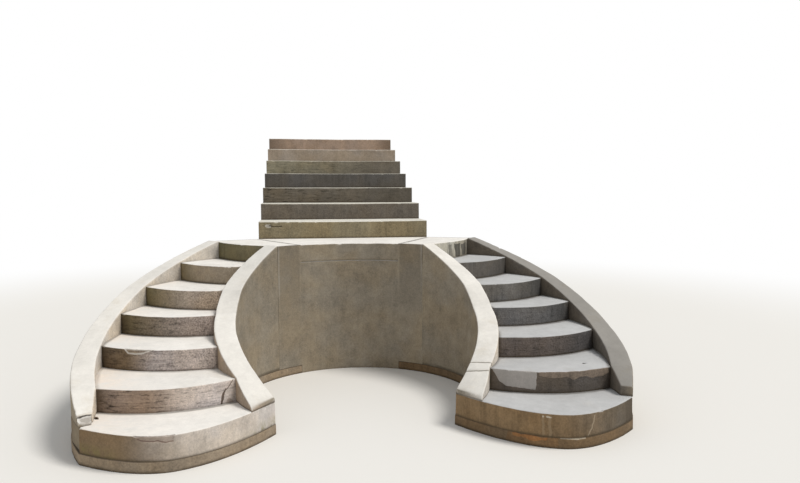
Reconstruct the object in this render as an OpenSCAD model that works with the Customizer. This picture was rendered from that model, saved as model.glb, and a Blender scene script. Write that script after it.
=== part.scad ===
// Outdoor stone steps: two mirrored flights wind up round a planting bed and meet
// at a landing, and a straight flight climbs from there. Sizes are in millimetres.
// The stair climbs towards +y. Its flights mirror each other about x = 0, apart from
// their bottom steps, which were cast by hand and differ a little.

/* [Curved flights] */
// Height of one riser of the curved flights
riser = 155; // [130:1:185]
// Radius of the face of the bed-side strings that the steps meet
inner_radius = 1090; // [1000:5:1250]
// Radius of the face of the outside strings that the steps meet, at the second nosing
outer_radius = 1893; // [1800:1:2300]
// How far the outside strings draw in from the second nosing to the landing
draw_in = 138; // [0:1:170]
// Radius of the worn edges of the treads
edge_radius = 14; // [4:1:25]
// Height of the footing course under the bottom riser
footing_h = 72; // [40:1:150]
// How far the footing course stands out from the faces over it
footing_out = 6; // [2:1:20]

/* [Nosing angles] */
// Bottom nosing at the bed-side string, in degrees from the line across the stair
inner_deg_1 = -48; // [-54:1:-43]
// Second nosing at the bed-side string
inner_deg_2 = -36; // [-40:1:-30]
// Third nosing at the bed-side string
inner_deg_3 = -19; // [-23:1:-15]
// Fourth nosing at the bed-side string
inner_deg_4 = 2; // [-4:1:5]
// Fifth nosing at the bed-side string
inner_deg_5 = 14; // [11:1:20]
// Sixth nosing at the bed-side string
inner_deg_6 = 31; // [27:1:35]
// Nosing of the landing at the bed-side string
inner_deg_7 = 47; // [42:1:52]
// Second nosing at the outside string
outer_deg_2 = -23; // [-24:1:-18]
// Third nosing at the outside string
outer_deg_3 = -6; // [-10:1:-3]
// Fourth nosing at the outside string
outer_deg_4 = 7; // [3:1:10]
// Fifth nosing at the outside string
outer_deg_5 = 19; // [15:1:23]
// Sixth nosing at the outside string
outer_deg_6 = 33; // [28:1:37]
// Nosing of the landing at the outside string
outer_deg_7 = 47; // [42:1:50]

/* [Nosing bows] */
// Forward bow of the second nosing
bow_second = 110; // [20:5:140]
// Forward bow of the nosing at the landing
bow_top = 45; // [10:1:90]

/* [Bottom steps] */
// Outer corner of the right bottom step, in degrees from the line across the stair
right_corner_deg = -28; // [-31:1:-26]
// Outer corner of the left bottom step
left_corner_deg = -30; // [-33:1:-26]
// Forward bow of the right bottom step, which runs out past both strings
right_bow = 395; // [250:5:450]
// Forward bow of the left bottom step
left_bow = 340; // [250:5:450]
// Squareness of both fronts: 2 is a plain arch, more has fuller ends
squareness = 1.85; // [1.8:0.05:3]
// Place of the crest of both bows, as a share of the way to the outer corner
crest = 0.58; // [0.45:0.01:0.62]

/* [Strings] */
// Thickness of the bed-side strings
inner_string_t = 162; // [100:1:200]
// Thickness of the outside strings
outer_string_t = 150; // [100:1:200]
// Height of the tops of the strings over the nosings
string_rise = 10; // [2:1:60]
// Bevel along the tops of the strings
string_bevel = 10; // [3:1:20]
// Turn of the bed-side strings past the bottom nosing, in degrees
inner_tail_deg = 3; // [1:1:6]
// Height of the low ends of the bed-side strings over the bottom tread
inner_toe_h = 16; // [5:1:60]
// How much the bed-side strings spread onto the bottom tread
inner_toe_flare = 66; // [0:2:90]
// Height of the low end of the right outside string over the bottom tread
right_toe_h = 66; // [25:1:100]
// Height of the low end of the left outside string, which is worn down
left_toe_h = 30; // [25:1:100]
// How much the outside strings narrow on the bottom tread
outer_toe_taper = 66; // [0:2:80]
// How far the outside strings end behind the corners of the bottom steps
toe_setback = 14; // [10:1:60]

/* [Landing and upper flight] */
// Distance from the centre of the curves to the first riser of the upper flight
landing_y = 1585; // [1500:5:1750]
// Width of the upper flight
upper_w = 1690; // [1500:10:1800]
// Height of one riser of the upper flight
upper_riser = 169; // [140:1:185]
// Depth of one tread of the upper flight
upper_tread_depth = 460; // [300:5:500]
// Depth over which each block of the upper flight carries the next one
bearing_depth = 60; // [30:5:120]

/* [Hidden] */

inner_deg = [inner_deg_1, inner_deg_2, inner_deg_3, inner_deg_4, inner_deg_5,
    inner_deg_6, inner_deg_7];
outer_deg = [outer_deg_2, outer_deg_3, outer_deg_4, outer_deg_5, outer_deg_6, outer_deg_7];
risers = len(inner_deg);
upper_risers = 7;
// Facets along each nosing, along the front of a bottom step, along a string from one
// nosing to the next, and round the edge of a tread
nosing_facets = 16;
front_facets = 24;
arc_facets = 5;
edge_facets = 3;
half_w = upper_w / 2;
bed_radius = inner_radius - inner_string_t;
landing_z = footing_h + risers * riser;
upper_end = landing_y + upper_risers * upper_tread_depth;
// Angle of the joint between the curved flights' top steps and the landing
joint_deg = atan2(landing_y, half_w);

// What differs between the two bottom steps: the outer corner's angle, the bow and the
// height of the low end of the outside string
right_bottom = [right_corner_deg, right_bow, right_toe_h];
left_bottom = [left_corner_deg, left_bow, left_toe_h];

tread_grey = [0.74, 0.72, 0.68];
riser_taupe = [0.52, 0.47, 0.42];
string_grey = [0.63, 0.61, 0.58];
footing_brown = [0.45, 0.37, 0.28];

function mix(a, b, t) = a + (b - a) * t;
function polar(r, a) = [r * cos(a), r * sin(a)];
function arc_deg(length, r) = length / r * 180 / PI;
function flip(list) = [for (k = [len(list) - 1 : -1 : 0]) list[k]];
function middle(list) = [for (k = [1 : len(list) - 2]) list[k]];

// A place s along a flight counts in nosings: 1 is the bottom one, 2.5 is half-way
// from the second to the third. Below the second nosing, the outside string turns to
// the corner of its own bottom step.
function turn(list, s, first) =
    let(i = min(floor(s), len(list) + first - 2)) mix(list[i - first], list[i - first + 1], s - i);
function inner_turn(s) = turn(inner_deg, s, 1);
function outer_turn(s, corner) =
    s < 2 ? mix(corner, outer_deg_2, s - 1) : turn(outer_deg, s, 2);
function outer_face(s) = outer_radius - draw_in * max(s - 2, 0) / (risers - 2);

// Point of the string faces at s, moved depth into the string
function inner_at(s, depth = 0) = polar(inner_radius - depth, inner_turn(s));
function outer_at(s, depth = 0, corner = 0) =
    polar(outer_face(s) + depth, outer_turn(s, corner));
// Places of the facets from nosing i to nosing j, without the two ends
function between(i, j) = [for (k = [1 : (j - i) * arc_facets - 1]) i + k / arc_facets];

// Curve from a to b that bows downhill between them, furthest at top of the way
function bowed(a, b, bow, facets, shape = 2, top = 0.5) =
    let(along = b - a, down = [along[1], -along[0]] / norm(along))
    [for (k = [0 : facets])
        let(t = k / facets, from_top = t < top ? (top - t) / top : (t - top) / (1 - top))
        a + along * t + down * bow * (1 - pow(from_top, shape))];
// Nosing n, moved back up the flight by back
function nosing(n, back = 0) =
    let(turn_in = arc_deg(back, inner_radius), turn_out = arc_deg(back, outer_face(n)))
    bowed(polar(inner_radius, inner_turn(n) + turn_in),
        polar(outer_face(n), outer_turn(n) + turn_out),
        mix(bow_second, bow_top, (n - 2) / (risers - 2)), nosing_facets);
// Front of a bottom step, moved out by out
function bottom_front(bottom, out = 0) =
    bowed(inner_at(1, inner_string_t + out), outer_at(1, outer_string_t + out, bottom[0]),
        bottom[1] + out, front_facets, squareness, crest);
// Edge over the planting bed, from angle a to angle b
function bed_edge(a, b, facets) =
    [for (k = [0 : facets]) polar(bed_radius, mix(a, b, k / facets))];

function landing_plan() = concat(bed_edge(joint_deg, 180 - joint_deg, 2 * arc_facets),
    [[-half_w, landing_y], [half_w, landing_y]]);
function footing_plan(bottom) = concat(bottom_front(bottom, footing_out),
    [for (s = between(1, risers)) outer_at(s, outer_string_t + footing_out, bottom[0])],
    [outer_at(risers, outer_string_t + footing_out), [half_w, landing_y]],
    flip(bed_edge(inner_deg_7, joint_deg, arc_facets)),
    [for (s = flip(between(1, risers))) inner_at(s, inner_string_t)]);

// The stair stands with the middle of its outline over the origin
front_y = min([for (bottom = [left_bottom, right_bottom])
    each [for (p = bottom_front(bottom, footing_out)) p[1]]]);
module stand() {
    translate([0, -(front_y + upper_end) / 2, 0]) children();
}
module left() {
    stand() mirror([1, 0, 0]) children();
}

// Solid between rings of corners, each ring being one cut across it
module sweep(rings) {
    corners = len(rings[0]);
    last = len(rings) - 1;
    sides = [for (i = [0 : last - 1]) for (j = [0 : corners - 1])
        let(a = i * corners + j, b = i * corners + (j + 1) % corners)
        each [[a, b, b + corners], [a, b + corners, a + corners]]];
    polyhedron([for (ring = rings) each ring],
        concat(sides, [flip([for (j = [0 : corners - 1]) j]),
            [for (j = [0 : corners - 1]) last * corners + j]]));
}
function at_height(plan, z) = [for (p = plan) [p[0], p[1], z]];

// How far the worn edge lies back from the face and below the tread, at place k of the
// quarter turn from the face to the tread
function edge_back(k) = edge_radius * (1 - cos(90 * k / edge_facets));
function edge_drop(k) = edge_radius * (1 - sin(90 * k / edge_facets));

// Triangles that fill the strip between two lines of corners, b on the left of a
function strip(a, b) =
    let(p = len(a) - 1, q = len(b) - 1,
        across = [for (j = [0 : p - 1]) round((j + 0.5) * q / p)])
    concat([for (j = [0 : p - 1]) [a[j], a[j + 1], b[across[j]]]],
        [for (k = [0 : q - 1])
            let(passed = len([for (place = across) if (place <= k) place]))
            [b[k + 1], b[k], a[passed]]]);
// Triangles between a line of corners and a tip on its left
function fan(line, tip) = [for (j = [0 : len(line) - 2]) [line[j], line[j + 1], tip]];
// Triangles over a plan from its four lines of corners: front and back run from the bed
// side outwards, the two sides from front to back between them
function cap(front, outside, back, bed_side) =
    let(p = len(front) - 1, q = len(back) - 1)
    concat(strip([front[1], back[1]], concat([front[0]], bed_side, [back[0]])),
        strip(middle(front), middle(back)),
        fan(concat([front[p - 1], front[p]], outside, [back[q]]), back[q - 1]));
function run(first, count) = count == 0 ? [] : [for (k = [0 : count - 1]) first + k];

// A block under a tread of the given height. Fronts holds the line of its front at each
// place of the worn edge, from the face to the tread.
module worn_block(fronts, outside, back, bed_side, high) {
    n = len(fronts[0]);
    behind = concat(outside, flip(back), flip(bed_side));
    m = len(behind);
    last = edge_facets + 1;
    top = (last + 1) * n;
    foot = top + m;
    past = len(outside) + len(back);
    rows = concat([for (k = [edge_facets : -1 : 0]) at_height(fronts[k], high - edge_drop(k))],
        [at_height(fronts[0], footing_h)]);
    caps = [for (from = [[0, top], [last * n, foot]])
        cap(run(from[0], n), run(from[1], len(outside)),
            flip(run(from[1] + len(outside), len(back))),
            flip(run(from[1] + past, len(bed_side))))];
    front = [for (i = [0 : last - 1]) for (j = [0 : n - 2])
        let(a = i * n + j)
        each [[a, a + 1, a + 1 + n], [a, a + 1 + n, a + n]]];
    sides = [for (j = [0 : m - 2]) [top + j, top + j + 1, foot + j + 1, foot + j]];
    far_end = [for (i = [0 : last - 1]) [top, (i + 2) * n - 1, (i + 1) * n - 1]];
    near_end = [for (i = [0 : last - 1]) [foot - 1, i * n, (i + 1) * n]];
    feet = [[top, foot, (last + 1) * n - 1], [foot - 1, last * n, foot + m - 1]];
    polyhedron(concat([for (row = rows) each row], at_height(behind, high),
            at_height(behind, footing_h)),
        concat(front, sides, far_end, near_end, feet, [for (face = caps[0]) flip(face)], caps[1]));
}
edge_places = [for (k = [0 : edge_facets]) edge_back(k)];

// A bottom step carries the ends of both strings
module bottom_step(bottom) {
    worn_block([for (back = edge_places) bottom_front(bottom, -back)],
        [for (s = between(1, 2)) outer_at(s, outer_string_t, bottom[0])],
        concat([inner_at(2, inner_string_t)], nosing(2), [outer_at(2, outer_string_t)]),
        [for (s = between(1, 2)) inner_at(s, inner_string_t)], footing_h + riser);
}
module flight_step(n) {
    worn_block([for (back = edge_places) nosing(n, back)],
        [for (s = between(n, n + 1)) outer_at(s)], nosing(n + 1),
        [for (s = between(n, n + 1)) inner_at(s)], footing_h + n * riser);
}
// The top step closes the ends of both strings and reaches the landing
module top_step() {
    worn_block([for (back = edge_places) concat([inner_at(risers, inner_string_t)],
            nosing(risers, back), [outer_at(risers, outer_string_t)])],
        [], bowed(polar(bed_radius, joint_deg), [half_w, landing_y], 0, nosing_facets + 2),
        middle(bed_edge(inner_deg_7, joint_deg, arc_facets)), landing_z);
}
module footing(bottom) {
    linear_extrude(height = footing_h) polygon(footing_plan(bottom));
}

// One cut across a string: face and back are its plan points, low and high its heights
function string_cut(face, back, low, high) =
    let(t = norm(back - face), c = (back - face) / t * string_bevel)
    [[face[0], face[1], low], [face[0], face[1], high - string_bevel],
     [face[0] + c[0], face[1] + c[1], high], [back[0] - c[0], back[1] - c[1], high],
     [back[0], back[1], high - string_bevel], [back[0], back[1], low]];
// Height of the tops of the strings at s
function string_top(s) = footing_h + s * riser + string_rise;
toe_low = footing_h + riser;

// The low end of a bed-side string stands on the bottom step. From s = 1 down to s = 0
// it turns through its tail, and the front of the bottom step trims it.
inner_toe_places = concat([0, 0.5], between(1, 2), [2]);
module inner_toe(bottom) {
    start = inner_deg_1 - inner_tail_deg;
    intersection() {
        sweep([for (s = inner_toe_places)
            let(a = s < 1 ? inner_deg_1 - inner_tail_deg * (1 - s) : inner_turn(s),
                high = mix(toe_low + inner_toe_h, string_top(2), (a - start) / (inner_deg_2 - start)))
            string_cut(polar(inner_radius + inner_toe_flare * (2 - s), a), polar(bed_radius, a),
                toe_low, high)]);
        behind_bottom_front(bottom);
    }
}
// Everything behind the edge of the bottom tread, past both strings
module behind_bottom_front(bottom) {
    clear = 200;
    linear_extrude(height = landing_z)
        polygon(concat(bottom_front(bottom, -edge_radius),
            [for (s = [1, 2.5]) outer_at(s, outer_string_t + clear, bottom[0])],
            [for (s = [2.5, 1]) inner_at(s, inner_string_t + clear)]));
}
// The low end of an outside string stands on the corner of the bottom step
module outer_toe(bottom) {
    back = outer_radius + outer_string_t;
    start = bottom[0] + arc_deg(toe_setback, back);
    sweep([for (k = [0 : arc_facets])
        let(t = k / arc_facets, a = mix(start, outer_deg_2, t))
        string_cut(polar(back, a), polar(mix(outer_radius + outer_toe_taper, outer_radius, t), a),
            toe_low, mix(toe_low + bottom[2], string_top(2), t))]);
}
string_places = concat([2], between(2, risers), [risers]);
module inner_string() {
    sweep([for (s = string_places)
        string_cut(inner_at(s), inner_at(s, inner_string_t), footing_h, string_top(s))]);
}
module outer_string() {
    sweep([for (s = string_places)
        string_cut(outer_at(s, outer_string_t), outer_at(s), footing_h, string_top(s))]);
}

module left_footing() { color(footing_brown) left() footing(left_bottom); }
module left_step_1() { color(riser_taupe) left() bottom_step(left_bottom); }
module left_step_2() { color(riser_taupe) left() flight_step(2); }
module left_step_3() { color(riser_taupe) left() flight_step(3); }
module left_step_4() { color(riser_taupe) left() flight_step(4); }
module left_step_5() { color(riser_taupe) left() flight_step(5); }
module left_step_6() { color(riser_taupe) left() flight_step(6); }
module left_step_7() { color(riser_taupe) left() top_step(); }
module left_inner_toe() { color(string_grey) left() inner_toe(left_bottom); }
module left_outer_toe() { color(string_grey) left() outer_toe(left_bottom); }
module left_inner_string() { color(string_grey) left() inner_string(); }
module left_outer_string() { color(string_grey) left() outer_string(); }
module right_footing() { color(footing_brown) stand() footing(right_bottom); }
module right_step_1() { color(riser_taupe) stand() bottom_step(right_bottom); }
module right_step_2() { color(riser_taupe) stand() flight_step(2); }
module right_step_3() { color(riser_taupe) stand() flight_step(3); }
module right_step_4() { color(riser_taupe) stand() flight_step(4); }
module right_step_5() { color(riser_taupe) stand() flight_step(5); }
module right_step_6() { color(riser_taupe) stand() flight_step(6); }
module right_step_7() { color(riser_taupe) stand() top_step(); }
module right_inner_toe() { color(string_grey) stand() inner_toe(right_bottom); }
module right_outer_toe() { color(string_grey) stand() outer_toe(right_bottom); }
module right_inner_string() { color(string_grey) stand() inner_string(); }
module right_outer_string() { color(string_grey) stand() outer_string(); }

// Retaining wall and fill under the landing
module landing_wall() {
    color(string_grey) stand()
        linear_extrude(height = landing_z - riser) polygon(landing_plan());
}
module landing_slab() {
    color(tread_grey) stand() translate([0, 0, landing_z - riser])
        linear_extrude(height = riser) polygon(landing_plan());
}
// A shape across the whole width of the upper flight, from its outline in y and z
module across(outline) {
    stand() translate([-half_w, 0, 0])
        rotate([90, 0, 90]) linear_extrude(height = upper_w) polygon(outline);
}
// Stepped base of the upper flight
module upper_core() {
    color(string_grey)
        across(concat([[landing_y, 0], [landing_y, landing_z]],
            [for (n = [1 : upper_risers - 1])
                let(y = landing_y + n * upper_tread_depth + bearing_depth)
                each [[y, landing_z + (n - 1) * upper_riser], [y, landing_z + n * upper_riser]]],
            [[upper_end, landing_z + (upper_risers - 1) * upper_riser], [upper_end, 0]]));
}
// One block of the upper flight, which carries the front of the next one
module upper_step(n) {
    front = landing_y + (n - 1) * upper_tread_depth;
    back = n == upper_risers ? upper_end : front + upper_tread_depth + bearing_depth;
    high = landing_z + n * upper_riser;
    color(tread_grey)
        across(concat([[front, high - upper_riser], [back, high - upper_riser], [back, high]],
            [for (k = [edge_facets : -1 : 0]) [front + edge_back(k), high - edge_drop(k)]]));
}
module upper_step_1() { upper_step(1); }
module upper_step_2() { upper_step(2); }
module upper_step_3() { upper_step(3); }
module upper_step_4() { upper_step(4); }
module upper_step_5() { upper_step(5); }
module upper_step_6() { upper_step(6); }
module upper_step_7() { upper_step(7); }

left_footing();
left_step_1();
left_step_2();
left_step_3();
left_step_4();
left_step_5();
left_step_6();
left_step_7();
left_inner_toe();
left_outer_toe();
left_inner_string();
left_outer_string();
right_footing();
right_step_1();
right_step_2();
right_step_3();
right_step_4();
right_step_5();
right_step_6();
right_step_7();
right_inner_toe();
right_outer_toe();
right_inner_string();
right_outer_string();
landing_wall();
landing_slab();
upper_core();
upper_step_1();
upper_step_2();
upper_step_3();
upper_step_4();
upper_step_5();
upper_step_6();
upper_step_7();
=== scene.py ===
import itertools
import math
from dataclasses import dataclass

import bpy
import numpy as np
from mathutils import Matrix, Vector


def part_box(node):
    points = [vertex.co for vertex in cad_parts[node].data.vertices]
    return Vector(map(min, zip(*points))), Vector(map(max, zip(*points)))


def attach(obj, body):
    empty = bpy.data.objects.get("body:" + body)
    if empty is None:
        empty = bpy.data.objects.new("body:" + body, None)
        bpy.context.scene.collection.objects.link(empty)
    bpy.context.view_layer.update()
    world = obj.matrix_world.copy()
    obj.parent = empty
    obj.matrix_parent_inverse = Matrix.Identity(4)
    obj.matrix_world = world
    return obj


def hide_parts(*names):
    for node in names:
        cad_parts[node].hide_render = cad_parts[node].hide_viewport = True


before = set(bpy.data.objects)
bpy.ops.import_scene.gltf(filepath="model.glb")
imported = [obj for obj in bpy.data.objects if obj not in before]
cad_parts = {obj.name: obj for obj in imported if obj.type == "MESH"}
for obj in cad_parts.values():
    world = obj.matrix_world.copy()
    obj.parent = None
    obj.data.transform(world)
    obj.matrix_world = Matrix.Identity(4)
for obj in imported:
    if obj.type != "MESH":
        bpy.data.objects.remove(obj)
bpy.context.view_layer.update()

# Sizes of the stair in metres and degrees, the same as those of its solids
RISER = 0.155
RISERS = 7
INNER_RADIUS = 1.090
OUTER_RADIUS = 1.893
DRAW_IN = 0.138
EDGE_RADIUS = 0.014
FOOTING_H = 0.072
FOOTING_OUT = 0.006
INNER_DEG = (-48, -36, -19, 2, 14, 31, 47)
OUTER_DEG = (-23, -6, 7, 19, 33, 47)
BOW_SECOND = 0.110
BOW_TOP = 0.045
SQUARENESS = 1.85
CREST = 0.58
INNER_STRING_T = 0.162
OUTER_STRING_T = 0.150
STRING_RISE = 0.010
STRING_BEVEL = 0.010
INNER_TOE_H = 0.016
INNER_TOE_FLARE = 0.066
OUTER_TOE_TAPER = 0.066
TOE_SETBACK = 0.014
LANDING_Y = 1.585
UPPER_W = 1.690
UPPER_RISER = 0.169
UPPER_RISERS = 7
UPPER_TREAD_DEPTH = 0.460
BEARING_DEPTH = 0.060
BED_RADIUS = INNER_RADIUS - INNER_STRING_T
HALF_W = UPPER_W / 2
LANDING_Z = FOOTING_H + RISERS * RISER
JOINT_DEG = math.degrees(math.atan2(LANDING_Y, HALF_W))
TOE_LOW = FOOTING_H + RISER
TOE_TOP = FOOTING_H + 2 * RISER + STRING_RISE

# The bottom steps differ: corner angle, bow and height of the outer toe's end
BOTTOM = {
    "right": dict(corner=-28, bow=0.395, toe_h=0.066),
    "left": dict(corner=-30, bow=0.340, toe_h=0.030),
}

# The y of the centre of the curves, which lies in front of the origin
RING_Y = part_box("upper_step_1")[0].y - LANDING_Y

# Size of the meshes' cells on the faces that show: of the steps, of those near the camera,
# of the landing, of the upper flight, of the footing course, of the strings across and
# along, and of their toes
CELL = 0.0075
NEAR_CELL = 0.0065
LANDING_CELL = 0.014
UPPER_CELL = 0.009
FOOTING_CELL = 0.010
STRING_CELL = 0.010
STRING_STEP = 0.008
TOE_CELL = 0.007

# How far a piece runs on inside the one that it meets, how far the steps stay over the
# footing course and the toes sink into the bottom step, and the mean radius of worn edges
OVERLAP = 0.010
SEAT = 0.001
SINK = 0.004
WORN_RADIUS = 0.012

# How many strips close each end of a step behind its edge, and how many faces both ends have
STRIPS = 8
END_FACES = 2 * (STRIPS + 1)


# Noise

def lumps(points, size, seed):
    """Smooth noise from -1 to 1 whose lumps have the given size."""
    place = points / size
    cell = np.floor(place).astype(np.int64)
    t = place - cell
    t = t * t * (3 - 2 * t)
    total = np.zeros(points.shape[:-1])
    for corner in itertools.product((0, 1), repeat=3):
        at = cell + np.array(corner)
        mixed = (at[..., 0] * 73856093) ^ (at[..., 1] * 19349663) ^ (at[..., 2] * 83492791)
        mixed = (mixed ^ (seed * 961748941)) & 0x7FFFFFFF
        mixed = ((mixed ^ (mixed >> 13)) * 1274126177) & 0x7FFFFFFF
        value = (mixed >> 8 & 0xFFFF) / 32767.5 - 1
        weight = np.prod(np.where(np.array(corner) == 1, t, 1 - t), axis=-1)
        total += weight * value
    return total


def rough(points, size, seed, octaves=4):
    """Noise from about -1 to 1 with finer and finer lumps on the large ones."""
    layers = [lumps(points, size / 2 ** k, seed + k) / 2 ** k for k in range(octaves)]
    return sum(layers) / 1.5


def lift(noise):
    """Noise from -1 to 1 brought to 0 to 1."""
    return 0.5 + 0.5 * noise


def step_up(x, low, high):
    """0 below low, 1 above high and smooth between."""
    t = np.clip((x - low) / (high - low), 0, 1)
    return t * t * (3 - 2 * t)


# Plan of the curved flights

def polar(radius, degrees):
    """Places at these angles round the centre of the curves."""
    angle = np.radians(degrees)
    return np.stack(np.broadcast_arrays(radius * np.cos(angle), radius * np.sin(angle)), axis=-1)


# The angles and places of the strings' faces beside the steps: s counts the nosings, from
# 1 at the bottom, and depth goes into the string

def inner_turn(s):
    return np.interp(s, np.arange(1, RISERS + 1), INNER_DEG)


def outer_turn(s, corner=0):
    return np.interp(s, np.arange(1, RISERS + 1), (corner,) + OUTER_DEG)


def outer_face(s):
    return OUTER_RADIUS - DRAW_IN * np.clip(np.asarray(s) - 2, 0, None) / (RISERS - 2)


def inner_at(s, depth=0):
    return polar(INNER_RADIUS - depth, inner_turn(s))


def outer_at(s, depth=0, corner=0):
    return polar(outer_face(s) + depth, outer_turn(s, corner))


def bowed(a, b, bow, t, shape=2.0, top=0.5):
    """Curve from a to b that bows downhill between them, most at the part top of its way."""
    along = b - a
    down = np.array([along[1], -along[0]]) / np.linalg.norm(along)
    from_top = np.where(t < top, (top - t) / top, (t - top) / (1 - top))
    return a + np.outer(t, along) + np.outer(1 - from_top ** shape, bow * down)


def nosing(n, run_on=OVERLAP):
    """Nosing n, run on a little into the strings at both ends."""
    a, b = inner_at(n), outer_at(n)
    spare = run_on / np.linalg.norm(b - a)
    bow = BOW_SECOND + (BOW_TOP - BOW_SECOND) * (n - 2) / (RISERS - 2)
    return bowed(a, b, bow, np.linspace(-spare, 1 + spare, 300))


def across_strings(n):
    """Nosing n, carried on to the far faces of both strings."""
    return np.concatenate([[inner_at(n, INNER_STRING_T)], nosing(n, 0), [outer_at(n, OUTER_STRING_T)]])


def bottom_front(bottom, out=0.0):
    """Front of a bottom step, which runs out past both strings, moved out by out."""
    return bowed(inner_at(1, INNER_STRING_T + out), outer_at(1, OUTER_STRING_T + out, bottom["corner"]),
                 bottom["bow"] + out, np.linspace(0, 1, 600), SQUARENESS, CREST)


def lengths(line):
    """Distance of each point of a line from its start."""
    return np.concatenate([[0], np.cumsum(np.linalg.norm(np.diff(line, axis=0), axis=1))])


def along_line(line, part):
    """Points at these parts of a line's length."""
    run = lengths(line)
    return np.stack([np.interp(np.asarray(part) * run[-1], run, line[:, k])
                     for k in range(line.shape[1])], axis=-1)


def downhill(line):
    """The flat direction across a line, to the right of its course."""
    course = np.gradient(line, axis=0)
    course /= np.linalg.norm(course, axis=1, keepdims=True)
    return np.stack([course[:, 1], -course[:, 0]], axis=-1)


# Meshes

# Every point bears marks that the finishes read. flat is its place on the unrolled faces:
# along, up and across. lip is 1 on worn edges, corner is 1 in creases, where the finishes
# paint dirt and shade, and share goes from 0 to 1 along a step or a footing and across a string.

def piece(name, made_of, finish, ends=None):
    """The shown piece that stands for the node of its name, made of points, faces and marks.
    Those of the left flight are made as on the right and mirrored. ends is the finish of the
    end faces, which are the last faces."""
    points, faces, marks = made_of
    points = points.reshape(-1, 3).copy()
    if name.startswith("left"):
        points[:, 0] *= -1
        faces = [face[::-1] for face in faces]
    points[:, 1] += RING_Y
    mesh = bpy.data.meshes.new(name)
    mesh.from_pydata(points.tolist(), [], faces)
    for mark, values in marks.items():
        kind = "FLOAT_VECTOR" if values.ndim > 1 else "FLOAT"
        layer = mesh.attributes.new(mark, kind, "POINT")
        layer.data.foreach_set("vector" if values.ndim > 1 else "value", values.ravel())
    mesh.polygons.foreach_set("use_smooth", [True] * len(mesh.polygons))
    mesh.set_sharp_from_angle(angle=math.radians(42))
    mesh.materials.append(finish)
    if ends:
        mesh.materials.append(ends)
        for face in mesh.polygons[-END_FACES:]:
            face.material_index = 1
    made = bpy.data.objects.new(name, mesh)
    bpy.context.scene.collection.objects.link(made)
    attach(made, "root")
    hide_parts(name)


def band(rows, corners):
    """Faces between rows of points that each go round the same number of corners."""
    i, j = np.meshgrid(np.arange(rows - 1), np.arange(corners), indexing="ij")
    a, b = i * corners + j, i * corners + (j + 1) % corners
    return np.stack([a, a + corners, b + corners, b], axis=-1).reshape(-1, 4).tolist()


def loop_mesh(loops, marks, rings):
    """Points, faces and marks of a closed skin over loops, each end closed by rings that
    shrink to a middle point."""
    def closing(values, end):
        middle = values[end].mean(axis=0)
        parts = 1 - np.arange(1, rings) / rings
        return [middle + (values[end] - middle) * part for part in parts], middle

    def whole(values):
        first, first_middle = closing(values, 0)
        last, last_middle = closing(values, -1)
        body = np.stack(first[::-1] + list(values) + last)
        flat = body.reshape((-1,) + body.shape[2:])
        return np.concatenate([flat, np.stack([first_middle, last_middle])])

    points = whole(loops)
    count, corners = len(loops) + 2 * (rings - 1), loops.shape[1]
    faces = band(count, corners)
    last = (count - 1) * corners
    j = np.arange(corners)
    k = (j + 1) % corners
    tip = np.full(corners, count * corners)
    faces += np.stack([tip, j, k], axis=-1).tolist()
    faces += np.stack([tip + 1, last + k, last + j], axis=-1).tolist()
    return points, faces, {name: whole(values) for name, values in marks.items()}


def step_mesh(loops, marks, tops, feet):
    """Points, faces and marks of a step over its loops. Each end is closed by strips that
    run from the tread's rows in tops down to the rows in feet under them."""
    count, corners = loops.shape[:2]
    last = (count - 1) * corners
    closing = [list(range(tops[0] + 1))]
    for k in range(len(tops) - 1):
        behind = range(tops[k + 1] + 1, feet[k + 1]) if k == len(tops) - 2 else ()
        closing.append([*range(tops[k], tops[k + 1] + 1), *behind, feet[k + 1], feet[k]])
    closed = closing + [[last + j for j in face[::-1]] for face in closing]
    return (loops.reshape(-1, 3), band(count, corners) + closed,
            {name: values.reshape((-1,) + values.shape[2:]) for name, values in marks.items()})


def add_row(laid, **row):
    """Adds one row of points and of each mark to laid."""
    for name, values in row.items():
        laid.setdefault(name, []).append(values)


def bites(run, places):
    """How deep an edge is bitten along it; places are (share of its length, width, depth)."""
    deep = np.zeros_like(run)
    for share, width, depth in places:
        off = 2 * (run - share * run[-1]) / width
        deep = np.maximum(deep, depth * np.sqrt(np.clip(1 - off ** 2, 0, 1)))
    return deep


# What marks single faces. Their places are (share, up): the share of the way along the
# nosing from its bed-side end, and the height in metres over the foot of the riser, which
# runs on over the edge and back along the tread. On a string, up runs over its top.

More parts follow.
